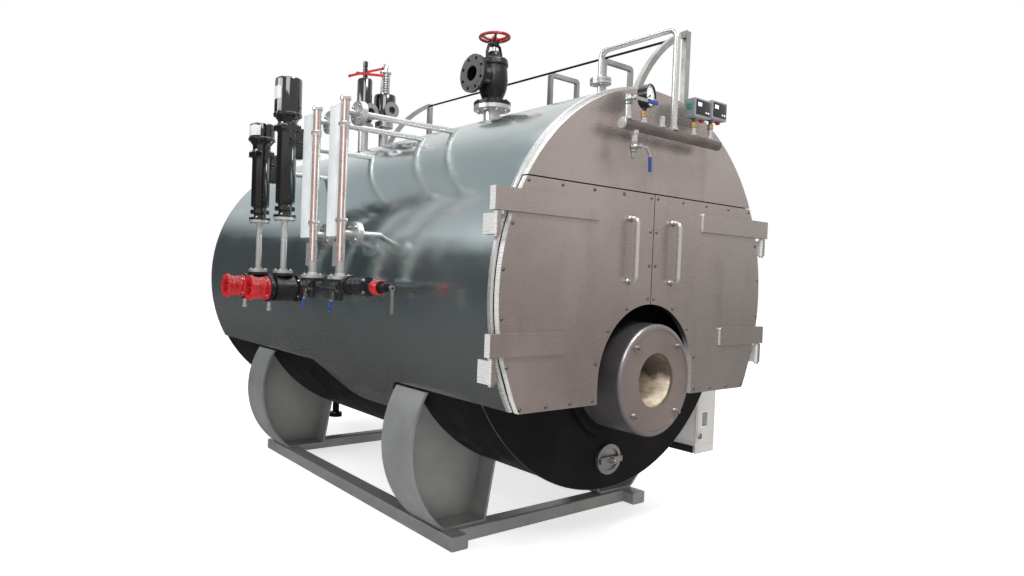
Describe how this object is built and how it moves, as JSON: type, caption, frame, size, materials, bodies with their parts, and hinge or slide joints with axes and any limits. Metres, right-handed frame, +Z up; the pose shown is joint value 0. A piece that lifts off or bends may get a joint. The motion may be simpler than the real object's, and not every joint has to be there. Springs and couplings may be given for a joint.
{
  "type": "industrial boiler",
  "caption": "Horizontal fire-tube steam boiler on a skid, clad shell with hinged front doors, burner throat, steam valve, safety valves and level gauges.",
  "frame": {"origin": "middle of the front cross beam's underside, at floor level", "axes": "+X to the right when facing the burner end, -Y out of the burner end, +Z up"},
  "size_m": [2.252, 3.198, 2.472],
  "materials": {
    "black_steel": "satin",
    "polished_steel": "polished",
    "burner_plate_steel": "satin",
    "lining": "matte",
    "cladding": "gloss",
    "brushed_front": "brushed",
    "skid_paint": "satin",
    "grey_steel": "satin",
    "valve_black": "satin",
    "red_paint": "gloss",
    "header_paint": "satin",
    "switch_grey": "matte",
    "plated": "plated",
    "blue_grip": "satin",
    "cabinet_paint": "satin"
  },
  "bodies": {
    "boiler": {"pressure_shell": "black_steel", "rear_end_plate": "black_steel", "rear_cover": "black_steel", "bottom_drain": "black_steel", "flue_outlet": "black_steel", "front_plate": "black_steel", "handhole_cover": "black_steel", "furnace_tube": "black_steel", "furnace_ring": "black_steel", "burner_drum": "polished_steel", "burner_plate": "burner_plate_steel", "throat_lining": "lining", "jacket": "cladding", "cap_plate": "brushed_front", "door_sills": "black_steel", "hinge_brackets": "brushed_front", "skid_beams": "skid_paint", "cross_beams": "skid_paint", "saddles": "skid_paint", "steam_nozzle": "grey_steel", "steam_valve_body": "valve_black", "safety_valves": "grey_steel", "riser_pipe": "grey_steel", "gauge_header": "header_paint", "pressure_gauge": "valve_black", "pressure_switches": "switch_grey", "header_cocks": "plated", "level_gauges": "grey_steel", "gauge_links": "grey_steel", "gauge_drains": "plated", "level_columns": "valve_black", "column_pipes": "grey_steel", "feed_bodies": "valve_black", "check_valves": "red_paint", "blowdown_valve": "valve_black", "top_rail": "plated", "control_cabinet": "cabinet_paint"},
    "door_left": {"door_left": "brushed_front"},
    "door_right": {"door_right": "brushed_front"},
    "steam_handwheel": {"steam_handwheel": "red_paint"},
    "safety_lever_left": {"safety_lever_left": "red_paint"},
    "safety_lever_right": {"safety_lever_right": "red_paint"},
    "header_cock_handle": {"header_cock_handle": "blue_grip"},
    "drain_cock_handle": {"drain_cock_handle": "blue_grip"},
    "gauge_handle_front": {"gauge_handle_front": "blue_grip"},
    "gauge_handle_rear": {"gauge_handle_rear": "blue_grip"},
    "blowdown_lever": {"blowdown_lever": "plated"}
  },
  "joints": [
    {"name": "door_left_hinge", "type": "hinge", "parent": "boiler", "child": "door_left", "pos_m": [-0.866, -0.555, 1.11], "axis": [0, 0, -1], "range_deg": [0, 110]},
    {"name": "door_right_hinge", "type": "hinge", "parent": "boiler", "child": "door_right", "pos_m": [0.866, -0.555, 1.11], "axis": [0, 0, 1], "range_deg": [0, 110]},
    {"name": "steam_wheel_turn", "type": "hinge", "parent": "boiler", "child": "steam_handwheel", "pos_m": [0, 0.498, 2.456], "axis": [0, 0, 1], "continuous": true},
    {"name": "safety_lever_left_lift", "type": "hinge", "parent": "boiler", "child": "safety_lever_left", "pos_m": [-0.335, 1.29, 2.36], "axis": [0, -1, 0], "range_deg": [0, 8]},
    {"name": "safety_lever_right_lift", "type": "hinge", "parent": "boiler", "child": "safety_lever_right", "pos_m": [-0.19, 1.29, 2.434], "axis": [0, 1, 0], "range_deg": [0, 8]},
    {"name": "header_cock_turn", "type": "hinge", "parent": "boiler", "child": "header_cock_handle", "pos_m": [-0.29, -0.667, 1.868], "axis": [0, -1, 0], "range_deg": [0, 90]},
    {"name": "drain_cock_turn", "type": "hinge", "parent": "boiler", "child": "drain_cock_handle", "pos_m": [-0.246, -0.667, 1.69], "axis": [0, -1, 0], "range_deg": [0, 90]},
    {"name": "gauge_cock_front_turn", "type": "hinge", "parent": "boiler", "child": "gauge_handle_front", "pos_m": [-1.064, 0.255, 1.078], "axis": [-1, 0, 0], "range_deg": [0, 90]},
    {"name": "gauge_cock_rear_turn", "type": "hinge", "parent": "boiler", "child": "gauge_handle_rear", "pos_m": [-1.064, 0.515, 1.078], "axis": [-1, 0, 0], "range_deg": [0, 90]},
    {"name": "blowdown_turn", "type": "hinge", "parent": "boiler", "child": "blowdown_lever", "pos_m": [-1.03, -0.158, 1.112], "axis": [0, 1, 0], "range_deg": [0, 90]}
  ]
}
